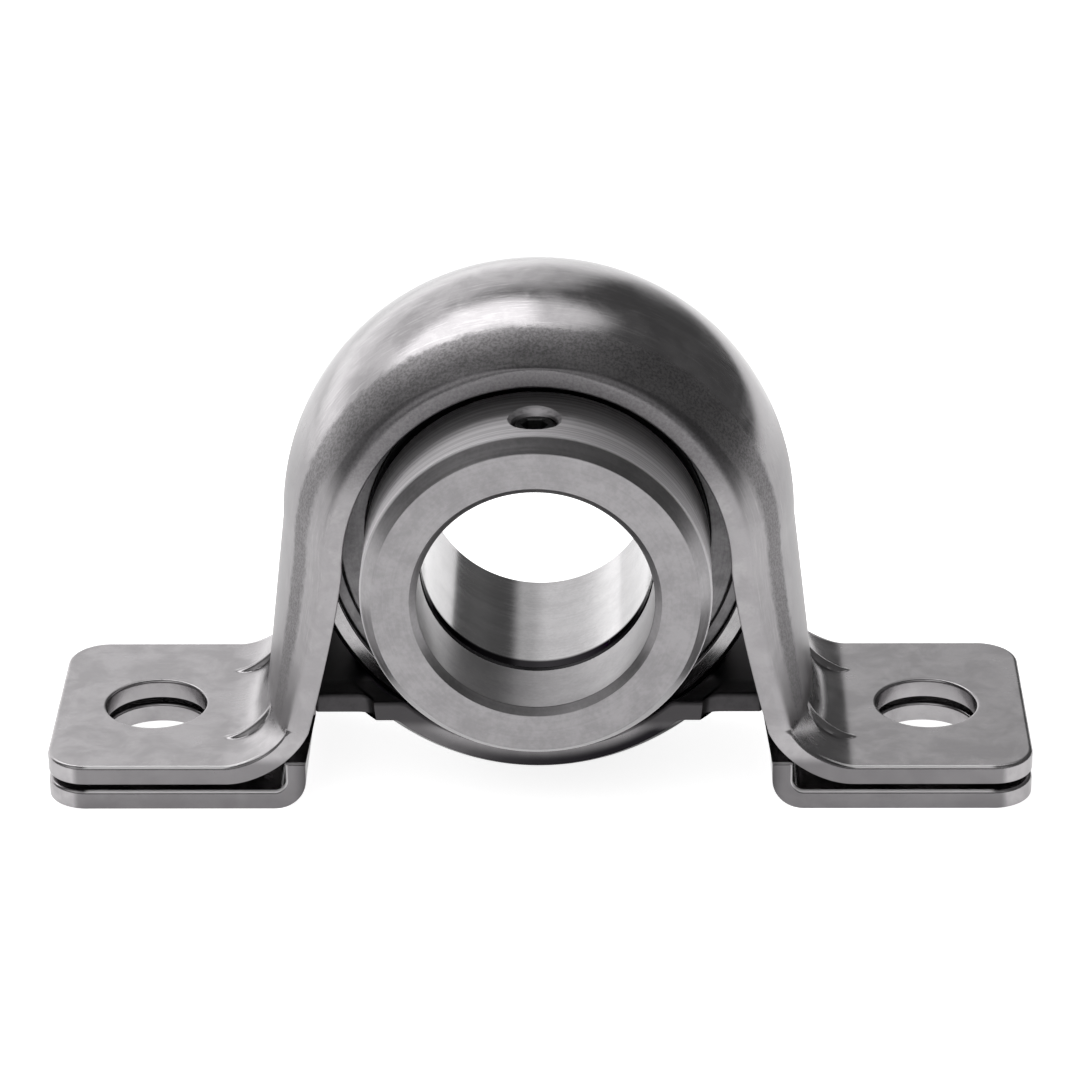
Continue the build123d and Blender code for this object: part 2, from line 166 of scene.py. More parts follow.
def grid_faces(rows, columns, close_rows=False, close_columns=True, start=0):
    """Quads of a grid of vertices, numbered row after row from start."""
    faces = []
    for i in range(rows if close_rows else rows - 1):
        below, above = start + i * columns, start + (i + 1) % rows * columns
        for j in range(columns if close_columns else columns - 1):
            after = (j + 1) % columns
            faces.append((below + j, below + after, above + after, above + j))
    return faces


def spaced(*parts):
    """One rising run of values from (first, last, count) parts that follow on each other."""
    runs = [np.linspace(first, last, count + 1)[:-1] for first, last, count in parts]
    return np.concatenate(runs + [[parts[-1][1]]])


def quarter_turn(count):
    """Angles from nothing to a quarter turn, in count steps."""
    return radians(1) * spaced((0, 90, count))


# ==== Sheet metal =================================================================================
# A pressed half is one closed skin: sections across the strip, placed at stations along it, and a
# plate with a bolt hole at each end.  A section runs over the top of the sheet, round a worn edge,
# down the cut face, round the other edge and back along the bottom.
edge_steps = 5
cut_guard = 0.06  # where the cut face's outer rows lie, as a share of it
tangent_step = 0.001
# Places across a face, as shares of its reach: dense where the darts rise and beside the edges.
across = spaced(
    (-1, -0.985, 2),
    (-0.985, -0.93, 2),
    (-0.93, -0.63, 16),
    (-0.63, -0.43, 24),
    (-0.43, 0.43, 46),
    (0.43, 0.63, 24),
    (0.63, 0.93, 16),
    (0.93, 0.985, 2),
    (0.985, 1, 2),
)
top_edge_radius = 0.42
rolled_edge_radius = 1.25
bottom_edge_radius = 0.16
hole_edge_radius = 0.3
rolled_bearings = (4, 17, 62, 88)  # degrees from the top of the arch
rolled_shares = (0, 1, 1, 0.25)  # how far the edge is rolled over there
plate_lead = 0.3
plate_rings = (0, 0.03, 0.12, 0.3, 0.55, 0.8, 0.93, 0.985, 1)  # from the hole out to the rim
plate_corner_steps = 16


def side_edge(surface, other, half_width, radius):
    """Where a worn edge starts on one side of the sheet, and its arc out to the cut face."""
    reach = half_width - radius
    for _ in range(4):
        y = reach[:, None]
        point = surface(y)[:, 0]
        tangent = unit(surface(y + tangent_step) - surface(y - tangent_step))[:, 0]
        away = point - other(y)[:, 0]
        normal = unit(away - (away * tangent).sum(1, keepdims=True) * tangent)
        reach = half_width - radius * (1 - normal[:, 1])
    return reach, edge_arc(point - radius[:, None] * normal, normal, np.array([0, 1, 0]), radius[:, None])


def edge_arc(centre, start, end, radius):
    """Points of an arc that turns from one unit normal to another, without its first point."""
    turn = np.arccos(np.clip((start * end).sum(-1, keepdims=True), -1, 1))
    rows = []
    for step in range(1, edge_steps + 1):
        share = step / edge_steps
        normal = (np.sin((1 - share) * turn) * start + np.sin(share * turn) * end) / np.sin(turn)
        rows.append(centre + radius * normal)
    return np.stack(rows, axis=1)


def cut_face(upper, lower):
    """Rows that come round one worn edge, go down the cut face and go back round the other edge."""
    start, end = upper[:, -1:], lower[:, -1:]
    guards = [start + (end - start) * cut_guard, end + (start - end) * cut_guard]
    return np.concatenate([upper, *guards, lower[:, ::-1]], axis=1)


def strip_sections(top, bottom, half_width, worn):
    """The closed sections of a strip; top and bottom give points for widths y, a row per station."""
    top_reach, top_arc = side_edge(top, bottom, half_width, worn)
    bottom_reach, bottom_arc = side_edge(bottom, top, half_width, np.full(len(worn), bottom_edge_radius))
    top_points = top(across * top_reach[:, None])
    bottom_points = bottom(across[::-1] * bottom_reach[:, None])
    side = cut_face(top_arc, bottom_arc)
    mirrored = side[:, ::-1] * [1, -1, 1]
    return np.concatenate([top_points, side, bottom_points, mirrored], axis=1)


def foot_plate(start_x, top_z, bottom_z, section):
    """The right-hand foot from start_x outwards, whose first edge is the strip's last section."""
    straight = foot_end - foot_corner_radius
    inner = foot_half_width - foot_corner_radius
    lead_end = start_x + plate_lead
    border = [(x, foot_half_width, 0, 1) for x in spaced((start_x, lead_end, 2), (lead_end, straight, 40))]
    for step in range(1, plate_corner_steps + 1):
        turn = pi / 2 * step / plate_corner_steps
        out_x, out_y = sin(turn), cos(turn)
        corner = (straight + foot_corner_radius * out_x, inner + foot_corner_radius * out_y)
        border.append((*corner, out_x, out_y))
    border += [(foot_end, y, 1, 0) for y in spaced((inner, 0, 20))[1:]]
    border += [(x, -y, out_x, -out_y) for x, y, out_x, out_y in border[-2::-1]]
    border = np.array(border)
    place, out = border[:, :2], border[:, 2:]
    up = np.zeros((len(border), 3)) + [0, 0, 1]
    outward = np.column_stack([out, np.zeros(len(border))])
    verts, faces = [section], []
    count = len(section)
    columns = len(across)
    side = 2 * edge_steps + 2

    def add(rows, closed):
        nonlocal count
        rows = np.asarray(rows)
        faces.extend(grid_faces(len(rows), rows.shape[1], close_columns=closed, start=count))
        verts.append(rows.reshape(-1, 3))
        count += rows.shape[0] * rows.shape[1]

    # Rim: the worn edges and cut face round the plate's outline.
    rim = []
    for level, radius, normal in ((top_z, top_edge_radius, up), (bottom_z, bottom_edge_radius, -up)):
        centre = np.column_stack([place, np.full(len(border), level)]) - radius * (outward + normal)
        first = (centre + radius * normal)[:, None]
        rim.append(np.concatenate([first, edge_arc(centre, normal, outward, radius)], axis=1))
    add(cut_face(*rim), False)
    # Faces: rings from the hole out to the rim and to the strip's section.
    rings = []
    top_lead = section[:columns]
    bottom_lead = section[columns + side : 2 * columns + side][::-1]
    for level, inset, lead, radius in (
        (top_z, top_edge_radius, top_lead, hole_edge_radius),
        (bottom_z, bottom_edge_radius, bottom_lead, hole_edge_radius / 2),
    ):
        edge = np.concatenate([lead[:, :2], (place - inset * out)[1:-1]])
        ray = unit(edge - [bolt_x, 0])
        hole = ray * (bolt_hole_radius + radius) + [bolt_x, 0]
        rows = [hole + (edge - hole) * share for share in plate_rings]
        rows = [np.column_stack([row, np.full(len(row), level)]) for row in rows]
        add(rows, True)
        normal = np.zeros((len(ray), 3)) + [0, 0, 1 if level == top_z else -1]
        inward = np.column_stack([-ray, np.zeros(len(ray))])
        centre = rows[0] - radius * normal
        rings.append(np.concatenate([rows[0][:, None], edge_arc(centre, normal, inward, radius)], axis=1))
    # The hole's wall keeps the rays of the top face, and meets the bottom face's own rim.
    wall = cut_face(*rings)
    add(np.concatenate([wall, wall[:1]]), False)
    return np.concatenate(verts), faces


def pressed_half(name, node, top, bottom, half_width, worn, foot_top, material):
    """Makes a whole pressed half from its right-hand side, whose stations run outwards from x = 0."""
    right = strip_sections(top, bottom, half_width, worn)
    left = right[:0:-1] * [-1, 1, 1]
    sections = np.concatenate([left, right])
    stations, columns = sections.shape[:2]
    faces = grid_faces(stations, columns)
    verts = [sections.reshape(-1, 3)]
    count = stations * columns
    plate, plate_faces = foot_plate(right[-1, 0, 0], foot_top, foot_top - foot_sheet, right[-1])
    for mirror in (1, -1):
        verts.append(plate * [mirror, 1, 1])
        faces += [tuple(count + v for v in face[::mirror]) for face in plate_faces]
        count += len(plate)
    new_piece(name, node, np.concatenate(verts), faces, "housing", material)


def dart_height_past(distance):
    """Height of the pressed darts over the leg or the foot, a distance past the bend."""
    return upper_bend_radius + dart_shift - sqrt(dart_path**2 - max(dart_shift - distance, 0) ** 2)


def upper_stations():
    """Stations of the upper half, from the top of the crown down the leg and out to the foot.

    Each has an origin and a direction away from it, how far out the outer and the inner face lie,
    a half-width, the two faces' curls across the strip, and the height of the darts.
    """
    rows = []
    # Crown: outer and inner are the sheet's two spheres.
    for turn in quarter_turn(76)[:-1]:
        width = crown_half_width + (leg_half_width - crown_half_width) * sin(turn) ** 2
        curls, away = (outer_curl, inner_curl), (sin(turn), cos(turn))
        rows.append(((0, centre_height), away, crown_radius, seat_radius, width, curls, -dart_sink))
    # Leg: flares out and thickens, and its curl starts to open.
    for share in spaced((0, 0.8, 20), (0.8, 1, 16))[:-1]:
        origin = (0, centre_height - leg_height * share)
        outer = crown_radius + (leg_foot_offset - crown_radius) * share
        inner = outer - crown_sheet - (foot_sheet - crown_sheet) * share
        width = leg_half_width + (bend_half_width - leg_half_width) * share
        opened = 1 - (1 - leg_curl) * share**1.5
        curls, dart = (opened * outer_curl, opened * inner_curl), dart_height_past(leg_height * (1 - share))
        rows.append((origin, (1, 0), outer, inner, width, curls, dart))
    # Bend: the curl runs out.
    for turn in quarter_turn(40)[:-1]:
        outer = -upper_bend_radius
        width = foot_half_width + (bend_half_width - foot_half_width) * cos(turn)
        left = leg_curl * (1 - sin(turn)) ** 1.5
        curls, away = (left * outer_curl, left * inner_curl), (cos(turn), sin(turn))
        lean = dart_shift * (cos(turn) + sin(turn))
        dart = upper_bend_radius + lean - sqrt(lean**2 - 2 * dart_shift**2 + dart_path**2)
        rows.append(((upper_bend_x, upper_bend_z), away, outer, outer - foot_sheet, width, curls, dart))
    # Foot: flat as far as the darts reach.
    for past in spaced((0, dart_shift, 10)):
        origin, outer = (upper_bend_x + past, 0), upper_foot_top
        dart = dart_height_past(past)
        rows.append((origin, (0, 1), outer, outer - foot_sheet, foot_half_width, (0, 0), dart))
    return [np.array(values, float) for values in zip(*rows)]


def make_upper_half(material):
    """The arch with its legs, feet and darts."""
    origin, away, outer, inner, width, curl, dart = upper_stations()

    def surface(level, curls):
        def points(y):
            round_off = np.sqrt(np.clip(dart_radius**2 - (np.abs(y) - dart_offset) ** 2, 0, None))
            ridge = np.clip(dart[:, None] - dart_radius + round_off, 0, None)
            height = level[:, None] - arc_drop(y, width[:, None], curls[:, None])
            height += ridge**2 / (ridge + dart_softness)
            x = origin[:, :1] + away[:, :1] * height
            z = origin[:, 1:] + away[:, 1:] * height
            return np.stack([x, y + 0 * x, z], axis=-1)

        return points

    # The arch's edge is rolled over, but for a short flat at its very top.
    bearing = np.degrees(np.arctan2(outer * away[:, 0], outer * away[:, 1] - origin[:, 1] + centre_height))
    rolled = np.interp(bearing, rolled_bearings, rolled_shares) * (origin[:, 1] > upper_bend_z)
    worn = top_edge_radius + (rolled_edge_radius - top_edge_radius) * rolled
    faces = surface(outer, curl[:, 0]), surface(inner, curl[:, 1])
    pressed_half("upper_pressing", "upper_housing", *faces, width, worn, upper_foot_top, material)


def lower_stations():
    """Stations of the lower half, from x = 0 outwards: a kind, a place in it, and a half-width."""
    rows = [("dish", share, foot_half_width) for share in spaced((0, 1, 44))[:-1]]
    rows += [("rim", share, foot_half_width) for share in spaced((0, 1, 10))[:-1]]
    # Strap: its place is where its edge lies, swept in from the dish and necked down at its end.
    draw_in = foot_half_width - strap_half_width
    sweep_start = sqrt(dish_radius**2 - foot_half_width**2 - strap_drop**2)
    rows += [("strap", x, foot_half_width) for x in (0, *spaced((sweep_start - 1.5, sweep_start, 3))[:-1])]
    for turn in quarter_turn(9):
        place = sweep_start + draw_in * (1 - cos(turn))
        rows.append(("strap", place, foot_half_width - draw_in * sin(turn)))
    corner_start = strap_corner - strap_corner_radius
    rows += [("strap", x, strap_half_width) for x in spaced((sweep_start + draw_in, corner_start, 6))[1:-1]]
    for turn in quarter_turn(5):
        narrowing = strap_corner_radius * (1 - cos(turn))
        rows.append(("strap", corner_start + strap_corner_radius * sin(turn), strap_half_width - narrowing))
    for turn in quarter_turn(5)[1:]:
        place = strap_corner + strap_corner_radius * (1 - cos(turn))
        rows.append(("strap", place, wall_half_width + strap_corner_radius * (1 - sin(turn))))
    rows += [("neck", share, wall_half_width) for share in (0.3, 0.6)]
    rows += [("shoulder", share, wall_half_width) for share in spaced((0, 1, 8))[:-1]]
    rows += [("wall", share, wall_half_width) for share in spaced((0, 1, 6))[:-1]]
    for share in spaced((0, 1, 8))[:-1]:
        rows.append(("spread", share, wall_half_width + (foot_half_width - wall_half_width) * share))
    rows += [("stem", share, foot_half_width) for share in (0, 0.3, 0.7)]
    rows += [("bend", share, foot_half_width) for share in spaced((0, 1, 20))[:-1]]
    rows += [("foot", share, foot_half_width) for share in (0, 0.5, 1)]
    return rows


def lower_face(rows, sphere, depth, inner_round, outer_round, sheet):
    """The lower half's upper or lower face: a surface through rows, sheet deep under the upper one."""
    level = centre_height - depth
    turn_share = pi / 2 - atan(neck_slope)
    shoulder_run = outer_round * tan(turn_share / 2)
    wall_start = level - outer_round * (1 - cos(turn_share))

    def rim_at(width):
        ball = np.sqrt(sphere**2 - width**2)
        return ball, np.sqrt((ball + inner_round) ** 2 - (depth + inner_round) ** 2)

    def wall_x(width, z):
        curl = np.interp(z, (neck_foot, strap_top - strap_shoulder_radius), (wall_curl, wall_top_curl))
        offset = wall_offset - sheet - neck_slope * (z - neck_foot)
        return offset - arc_drop(width, wall_half_width, curl)

    def point(kind, place, half_width, width):
        if kind in ("dish", "rim"):
            ball, rim_x = rim_at(width)
            rim_turn = np.arctan2(rim_x, depth + inner_round)
            if kind == "dish":
                return ball * np.sin(rim_turn * place), centre_height - ball * np.cos(rim_turn * place)
            turn = rim_turn * (1 - place)
            return rim_x - inner_round * np.sin(turn), level - inner_round + inner_round * np.cos(turn)
        if kind == "strap":
            edge_start = rim_at(foot_half_width)[1]
            share = max(place - edge_start, 0) / (strap_corner - edge_start)
            rim_x = rim_at(width / half_width * foot_half_width)[1]
            return np.where(share < 1, rim_x + (strap_corner - rim_x) * min(share, 1), place), level
        if kind in ("neck", "shoulder"):
            start = wall_x(width, level) - shoulder_run
            if kind == "neck":
                line = strap_corner + strap_corner_radius
                return line + (start - line) * place, level
            turn = turn_share * place
            return start + outer_round * sin(turn), level - outer_round * (1 - cos(turn))
        if kind == "wall":
            z = wall_start + (neck_foot - wall_start) * place
            return wall_x(width, z), z
        if kind == "spread":
            drop = arc_drop(width, half_width, wall_curl * (1 - place))
            return wall_offset - sheet - drop, neck_foot + (wall_foot_top - neck_foot) * place
        if kind == "stem":
            return wall_offset - sheet, wall_foot_top + (lower_bend_z - wall_foot_top) * place
        if kind == "bend":
            away, turn = lower_bend_radius + sheet, pi / 2 * place
            return lower_bend_x - away * cos(turn), lower_bend_z - away * sin(turn)
        return lower_bend_x + place, foot_sheet - sheet

    def points(y):
        widths = np.broadcast_to(y, (len(rows), y.shape[-1]))
        placed = [point(*row, width) for row, width in zip(rows, widths)]
        x, z = (np.array([part[i] + 0 * width for part, width in zip(placed, widths)]) for i in (0, 1))
        return np.stack([x, y + 0 * x, z], axis=-1)

    return points


def make_lower_half(material):
    """The ball seat with its straps, walls and feet."""
    rows = lower_stations()
    top = lower_face(rows, seat_radius, strap_drop, strap_rim_radius, strap_shoulder_radius, 0)
    under = strap_drop + foot_sheet
    bottom = lower_face(rows, dish_radius, under, strap_root_radius, wall_root_radius, foot_sheet)
    width = np.array([row[2] for row in rows])
    worn = np.full(len(rows), top_edge_radius)
    pressed_half("lower_pressing", "lower_housing", top, bottom, width, worn, foot_sheet, material)


# ==== Turned pieces ===============================================================================
bore_radius = 12.5
pitch_radius = 19.52
race_offset = 3.989  # from the pitch circle to a race's floor: a ball's radius and a little play
groove_radius = 4.13
inner_land_radius = 17.12
outer_land_radius = 21.92
ring_half_width = 7.5
ring_edge_run = 0.45
ring_edge_drop = 0.42
insert_sphere_radius = 26.0
inner_ring_front = 14.0
bore_front_chamfer = 0.3
bore_rear_chamfer = 0.4
inner_ring_neck_radius = 15.62
cam_radius = 14.3
cam_chamfer = 0.35
cam_eccentricity = 0.8
cam_start = 9.65
collar_back = 10.0
collar_front = 23.5
collar_floor = 14.35
collar_bore_radius = 12.55
collar_recess_radius = 14.55
collar_radius = 18.6
collar_bore_chamfer = 0.75
collar_front_chamfer = (2, 1.3)  # along the axis, and down the radius
collar_back_chamfer = 0.5
seal_seat = 5.8
seal_seat_radius = 23.02
shield_play = 0.02
shield_thickness = 0.8
shield_face = 7.15
shield_step_radius = 21.72
shield_step_lean = 0.25
shield_step_wall = 0.4
shield_inner_radius = 18.62
lip_bulge_radius = 18.2
lip_waist_radius = 17.75
lip_radius = 17.18
screw_y = -17.2
screw_top = 17.85
screw_length = 4.4
screw_thread = (2.28, 2.08)  # radius at the thread's crest, and at its root
screw_chamfer = 0.3
screw_chamfer_slope = 1.1
socket_half_width = 1.25
hole_thread = (2.5, 2.32)
hole_levels = (11, 19.4, 130)
countersink_radius = 3.05
countersink_slope = 0.87
thread_pitch = 0.8
thread_segments = 96
turned_segments = 360
margin = 0.01


def rounded(corners, guard=0.05):
    """A closed outline of (along, radius, rounding) corners, with short runs beside each rounding."""
    count = len(corners)
    outline = []
    for i, (along, radius, rounding) in enumerate(corners):
        here = np.array([along, radius])
        if not rounding:
            outline.append(here)
            continue
        back = unit(np.array(corners[i - 1][:2]) - here)
        on = unit(np.array(corners[(i + 1) % count][:2]) - here)
        inside = np.arccos(np.clip((back * on).sum(), -1, 1))
        run = rounding / np.tan(inside / 2)
        centre = here + unit(back + on) * rounding / np.sin(inside / 2)
        start, end = unit(here + back * run - centre), unit(here + on * run - centre)
        outline += [here + back * (run + guard), centre + rounding * start]
        outline += list(edge_arc(centre[None], start[None], end, rounding)[0])
        outline.append(here + on * (run + guard))
    return np.array(outline)


def arc(centre_along, centre_radius, radius, start, end, count):
    """Unrounded corners along an arc, with angles in degrees from the outward direction."""
    turns = np.radians(np.linspace(start, end, count))
    return [(centre_along + radius * sin(t), centre_radius + radius * cos(t), 0) for t in turns]


def spin(outline, shift=None):
    """Vertices and faces of an outline turned about the bore; shift gives each angle's own radii."""
    turns = np.linspace(0, tau, turned_segments, endpoint=False)
    rows = []
    for turn in turns:
        radii = outline[:, 1] if shift is None else shift(turn, outline)
        along = outline[:, 0]
        rows.append(np.column_stack([radii * sin(turn), along, centre_height + radii * cos(turn)]))
    verts = np.concatenate(rows)
    return verts, grid_faces(len(turns), len(outline), close_rows=True)


def eccentric(radius, in_place, lowest, highest):
    """A shift for spin: the radii between two limits follow a circle that sits above the bore's axis.

    in_place says which places along the axis it holds for.
    """

    def shift(turn, outline):
        along, radii = outline.T
        reach = cam_eccentricity * cos(turn) + sqrt(radius**2 - (cam_eccentricity * sin(turn)) ** 2)
        chosen = in_place(along) & (radii > lowest) & (radii < highest)
        return np.where(chosen, radii + reach - radius, radii)

    return shift


def make_outer_ring(material):
    """The ring with the spherical outside, its ball groove and the seats of both shields."""
    face_radius = sqrt(insert_sphere_radius**2 - ring_half_width**2) - ring_edge_drop
    edge_turn = np.degrees(np.arcsin((ring_half_width - ring_edge_run) / insert_sphere_radius))
    groove_centre = pitch_radius + race_offset - groove_radius
    groove_half = np.degrees(np.arccos((outer_land_radius - groove_centre) / groove_radius))
    corners = arc(0, 0, insert_sphere_radius, -edge_turn, edge_turn, 61)
    corners += [(ring_half_width, face_radius, 0.12), (ring_half_width, seal_seat_radius, 0.1)]
    corners += [(seal_seat, seal_seat_radius, 0.05), (seal_seat, outer_land_radius, 0.08)]
    corners += arc(0, groove_centre, groove_radius, groove_half, -groove_half, 33)
    corners += [(-seal_seat, outer_land_radius, 0.08), (-seal_seat, seal_seat_radius, 0.05)]
    corners += [(-ring_half_width, seal_seat_radius, 0.1), (-ring_half_width, face_radius, 0.12)]
    verts, faces = spin(rounded(corners))
    new_piece("turned_outer_ring", "outer_ring", verts, faces, "outer_ring", material)


def make_inner_ring(material):
    """The bored ring with its ball groove, its neck and the cam that the collar locks on."""
    groove_centre = pitch_radius - race_offset + groove_radius
    groove_half = np.degrees(np.arccos((groove_centre - inner_land_radius) / groove_radius))
    corners = [
        (-inner_ring_front, bore_radius + bore_front_chamfer, 0.1),
        (-inner_ring_front, cam_radius - cam_chamfer, 0.1),
        (-inner_ring_front + cam_chamfer, cam_radius, 0.1),
        (-cam_start, cam_radius, 0.1),
        (-cam_start, inner_ring_neck_radius, 0.15),
        (-ring_half_width, inner_ring_neck_radius, 0.2),
        (-ring_half_width, inner_land_radius, 0.12),
        *arc(0, groove_centre, groove_radius, 180 + groove_half, 180 - groove_half, 33),
        (ring_half_width, inner_land_radius, 0.3),
        (ring_half_width, bore_radius + bore_rear_chamfer, 0.12),
        (ring_half_width - bore_rear_chamfer, bore_radius, 0.12),
        (-inner_ring_front + bore_front_chamfer, bore_radius, 0.12),
    ]
    limits = (bore_radius + 0.8, cam_radius + 0.2)
    cam = eccentric(cam_radius, lambda along: along < -cam_start + margin, *limits)
    verts, faces = spin(rounded(corners), cam)
    new_piece("turned_inner_ring", "inner_ring", verts, faces, "inner_ring", material)


def make_shield(side, name, material):
    """A pressed shield with its step; side is -1 at the front and 1 at the rear."""
    back_step = shield_step_radius - shield_step_wall
    corners = [
        (seal_seat, seal_seat_radius - shield_play, 0.08),
        (seal_seat + shield_thickness, seal_seat_radius - shield_play, 0.2),
        (seal_seat + shield_thickness, shield_step_radius, 0.2),
        (shield_face, shield_step_radius - shield_step_lean, 0.3),
        (shield_face, shield_inner_radius, 0.15),
        (shield_face - shield_thickness, shield_inner_radius, 0.1),
        (shield_face - shield_thickness, back_step - shield_step_lean, 0.2),
        (seal_seat, back_step, 0.2),
    ]
    verts, faces = spin(rounded(corners) * [side, 1])
    new_piece("pressed_" + name, name, verts, faces, "outer_ring", material)


def make_lip(side, name, material):
    """The rubber bonded to a shield's inner edge, that reaches in to the inner ring."""
    back = shield_face - shield_thickness
    corners = [
        (back, shield_inner_radius, 0.05),
        (shield_face - 0.02, shield_inner_radius, 0.1),
        (shield_face - 0.12, lip_bulge_radius, 0.3),
        (shield_face - 0.42, lip_waist_radius, 0.3),
        (shield_face - 0.5, lip_radius, 0.08),
        (shield_face - 0.75, lip_radius, 0.08),
    ]
    verts, faces = spin(rounded(corners, 0.02) * [side, 1])
    new_piece("moulded_" + name, name, verts, faces, "outer_ring", material)


def threaded_rod(levels, radius_at, thread):
    """Rows of a vertical rod round the screw's axis with a helical thread; radius_at caps each level."""
    crest, root = thread
    turns = np.linspace(0, tau, thread_segments, endpoint=False)
    rows = []
    for level in levels:
        wave = np.abs((level / thread_pitch - turns / tau) % 1 * 2 - 1)
        radius = np.minimum(crest + (root - crest) * np.clip(1.4 * wave - 0.2, 0, 1), radius_at(level))
        rows.append(np.column_stack([radius * np.sin(turns), radius * np.cos(turns), 0 * turns + level]))
    return np.array(rows) + [0, screw_y, centre_height]


def close_rod(rows):
    """Vertices and faces of a rod whose ends are filled."""
    count, segments = rows.shape[:2]
    faces = grid_faces(count, segments)
    faces.append(tuple(range(segments)))
    faces.append(tuple((count - 1) * segments + i for i in range(segments)))
    return rows.reshape(-1, 3), faces


def make_collar(material):
    """The eccentric locking collar, with the tapped hole for its screw."""
    chamfer_run, chamfer_drop = collar_front_chamfer
    corners = [
        (-collar_back, collar_radius - collar_back_chamfer, 0.12),
        (-collar_back, collar_recess_radius, 0.08),
        (-collar_floor, collar_recess_radius, 0.15),
        (-collar_floor, collar_bore_radius, 0.08),
        (collar_bore_chamfer - collar_front, collar_bore_radius, 0.1),
        (-collar_front, collar_bore_radius + collar_bore_chamfer, 0.1),
        (-collar_front, collar_radius - chamfer_drop, 0.15),
        (chamfer_run - collar_front, collar_radius, 0.2),
        (-collar_back - collar_back_chamfer, collar_radius, 0.15),
    ]
    limits = (collar_bore_radius + 0.8, collar_recess_radius + 0.8)
    recess = eccentric(collar_recess_radius, lambda along: along > -collar_floor - margin, *limits)
    verts, faces = spin(rounded(corners), recess)
    body = node = "locking_collar"
    collar = new_piece("tapped_collar", node, verts, faces, body, material)
    # The tapped hole is cut with a rod that has the thread's hollows and the countersink's cone.
    levels = spaced(hole_levels)
    rows = threaded_rod(levels, lambda level: inf, hole_thread)
    cone = countersink_radius + (levels - collar_radius) * countersink_slope
    away = (rows - [0, screw_y, 0]) * [1, 1, 0]
    size = np.linalg.norm(away, axis=-1, keepdims=True)
    rows += away / size * np.maximum(cone[:, None, None] - size, 0)
    cut_away(collar, *close_rod(rows))


def cut_away(piece, verts, faces):
    """Takes a closed body, given in millimetres, out of a piece."""
    mesh = closed_mesh("cutter", verts, faces)
    cutter = add_object("cutter", mesh)
    modifier = piece.modifiers.new("cut", "BOOLEAN")
    modifier.object = cutter
    modifier.operation = "DIFFERENCE"
    modifier.solver = "EXACT"
    graph = bpy.context.evaluated_depsgraph_get()
    whole = piece.data
    piece.data = bpy.data.meshes.new_from_object(piece.evaluated_get(graph))
    piece.modifiers.clear()
    piece.data.set_sharp_from_angle(angle=sharp_angle)
    bpy.data.objects.remove(cutter)
    bpy.data.meshes.remove(mesh)
    bpy.data.meshes.remove(whole)


def make_set_screw(material):
    """A headless screw: threaded outside, hexagon socket on top, cup point below."""
    bottom = screw_top - screw_length
    first, last = bottom + screw_chamfer, screw_top - screw_chamfer
    levels = spaced((bottom, first, 6), (first, last, 90), (last, screw_top, 6))
    crest = screw_thread[0]

    def ends(level):
        return crest - max(first - level, level - last, 0) * screw_chamfer_slope

    rows = threaded_rod(levels, ends, screw_thread)
    turns = np.linspace(0, tau, thread_segments, endpoint=False)
    flats = socket_half_width / np.cos((turns + pi / 6) % (pi / 3) - pi / 6)

    def ring(radius, level):
        radius = radius + 0 * turns
        round_axis = np.column_stack([radius * np.sin(turns), radius * np.cos(turns), 0 * turns])
        return round_axis + [0, screw_y, centre_height + level]

    cup = [(0.02, 0.75), (1.0, 0.25), (1.25, 0.03), (1.35, 0)]
    cup = [ring(radius, bottom + depth) for radius, depth in cup]
    socket = [(flats + 0.14, 0), (flats, 0.12), (flats, 2.15), (flats * 0.9, 2.2), (0.02, 2.45)]
    socket = [ring(radius, screw_top - depth) for radius, depth in socket]
    verts, faces = close_rod(np.concatenate([cup, rows, socket]))
    body = node = "set_screw"
    new_piece("threaded_screw", node, verts, faces, body, material, radians(30))


